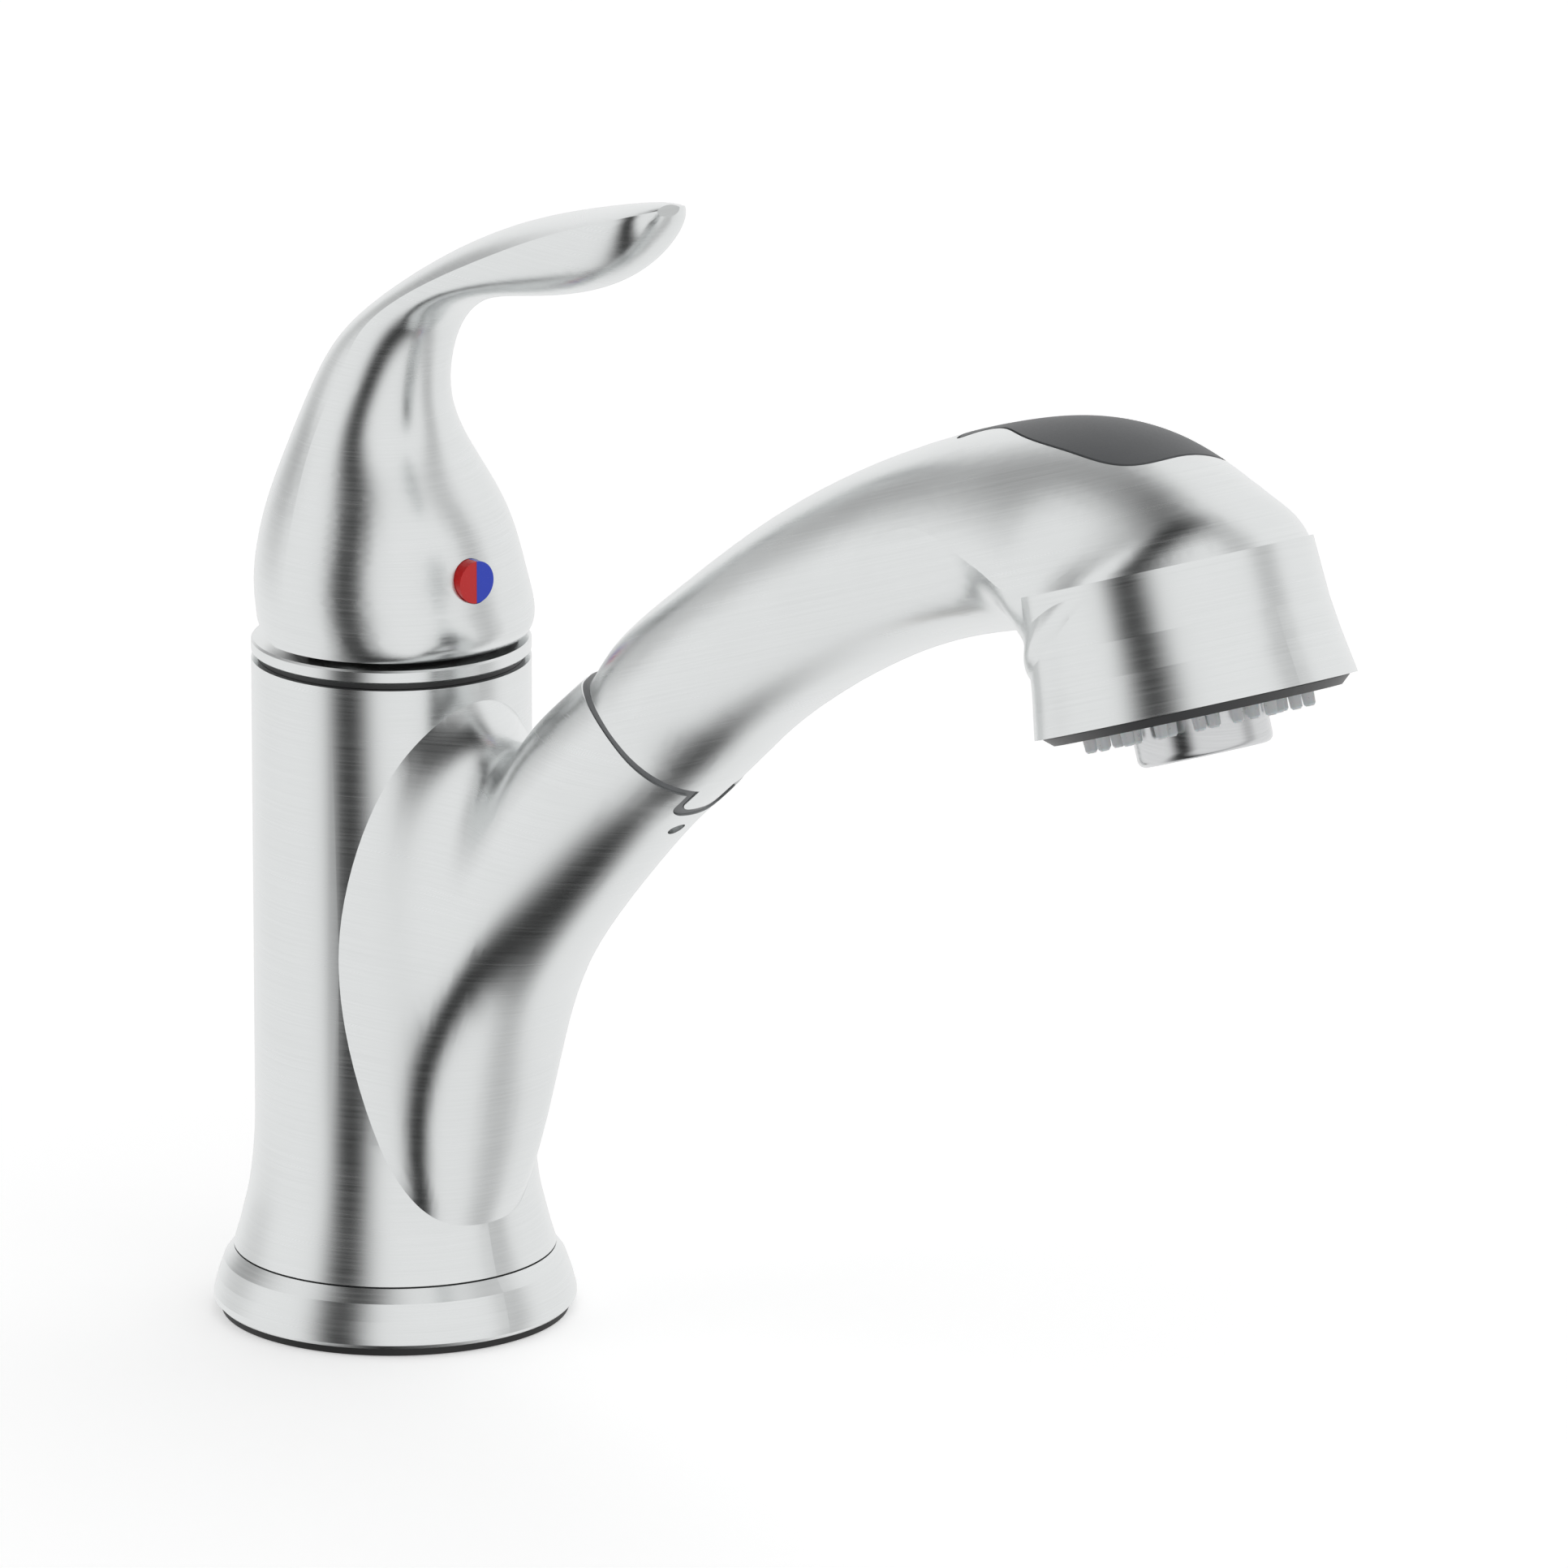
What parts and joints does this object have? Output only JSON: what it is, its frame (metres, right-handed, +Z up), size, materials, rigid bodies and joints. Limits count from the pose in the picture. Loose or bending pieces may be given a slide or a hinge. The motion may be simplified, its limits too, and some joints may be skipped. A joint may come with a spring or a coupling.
{
  "type": "kitchen faucet",
  "caption": "Single-lever kitchen faucet: round column, angled swivel spout, and a spray wand with a rocker button that pulls out of the spout on a hose.",
  "frame": {"origin": "centre of the base ring's underside, on the deck", "axes": "+Z up out of the deck, +X forward along the spout, +Y to the left of someone looking along +X"},
  "size_m": [0.2811, 0.0666, 0.2935],
  "materials": {
    "brushed_nickel": "satin, brushed",
    "satin_chrome": "satin",
    "brass": "machined",
    "stainless_steel": "plain",
    "black_rubber": "matte",
    "dark_plastic": "matte",
    "grey_plastic": "fine texture",
    "white_plastic": "moulded",
    "ceramic": "lapped ceramic",
    "hose_braid": "nylon braid",
    "clear_silicone": "translucent",
    "index_red": "gloss",
    "index_blue": "gloss"
  },
  "bodies": {
    "base": {"deck_gasket": "black_rubber", "base_flange": "brushed_nickel", "mounting_shank": "brass", "rubber_washer": "black_rubber", "steel_washer": "stainless_steel", "mounting_nut": "dark_plastic", "valve_column": "brass", "column_o_ring": "black_rubber", "lower_bush": "dark_plastic", "upper_bush": "dark_plastic", "trim_ring": "brushed_nickel", "bonnet_nut": "brass", "cartridge_case": "white_plastic", "cartridge_seals": "black_rubber", "fixed_ceramic_disc": "ceramic"},
    "spout": {"spout_shell": "brushed_nickel", "dock_collar": "grey_plastic", "collar_screw": "stainless_steel", "spray_hose": "hose_braid", "hose_end_fitting": "brass"},
    "carrier": {"stem_carrier": "white_plastic", "pivot_pin": "stainless_steel"},
    "handle": {"handle_shell": "brushed_nickel", "cartridge_stem": "stainless_steel", "set_screw": "stainless_steel", "index_red": "index_red", "index_blue": "index_blue"},
    "disc": {"moving_ceramic_disc": "ceramic", "disc_driver": "white_plastic"},
    "wand": {"wand_shell": "brushed_nickel", "dock_plug": "white_plastic", "hose_nut": "brass", "check_valve": "white_plastic", "waterway_tube": "white_plastic", "button_tray": "white_plastic", "button_pin": "stainless_steel", "diverter_housing": "white_plastic", "face_carrier": "white_plastic", "face_ring": "dark_plastic", "spray_face": "clear_silicone", "aerator_housing": "satin_chrome", "aerator_screen": "white_plastic", "flow_regulator": "white_plastic"},
    "button": {"spray_button": "grey_plastic"},
    "diverter": {"diverter_spool": "white_plastic", "spool_o_rings": "black_rubber"}
  },
  "joints": [
    {"name": "spout_swivel", "type": "hinge", "parent": "base", "child": "spout", "pos_m": [0, 0, 0], "axis": [0, 0, 1], "range_deg": [-60, 60]},
    {"name": "handle_turn", "type": "hinge", "parent": "base", "child": "carrier", "pos_m": [0, 0, 0.119], "axis": [0, 0, 1], "range_deg": [-45, 45]},
    {"name": "handle_lift", "type": "hinge", "parent": "carrier", "child": "handle", "pos_m": [0, 0, 0.119], "axis": [0, -1, 0], "range_deg": [0, 15]},
    {"name": "disc_shift", "type": "slide", "parent": "carrier", "child": "disc", "axis": [1, 0, 0], "range_m": [0, 0.00268]},
    {"name": "wand_pull", "type": "slide", "parent": "spout", "child": "wand", "axis": [0.757, 0, 0.6534], "range_m": [0, 0.15], "deforming": ["spray_hose"]},
    {"name": "button_rock", "type": "hinge", "parent": "wand", "child": "button", "pos_m": [0.1977, 0, 0.19991], "axis": [0, 1, 0], "range_deg": [-3, 3]},
    {"name": "spool_shift", "type": "slide", "parent": "wand", "child": "diverter", "axis": [-0.3305, 0, 0.9438], "range_m": [-0.00075, 0.00075]}
  ],
  "couplings": [
    {"joint": "disc_shift", "follows": "handle_lift", "m_per_rad": 0.0102},
    {"joint": "spool_shift", "follows": "button_rock", "m_per_rad": -0.014}
  ]
}
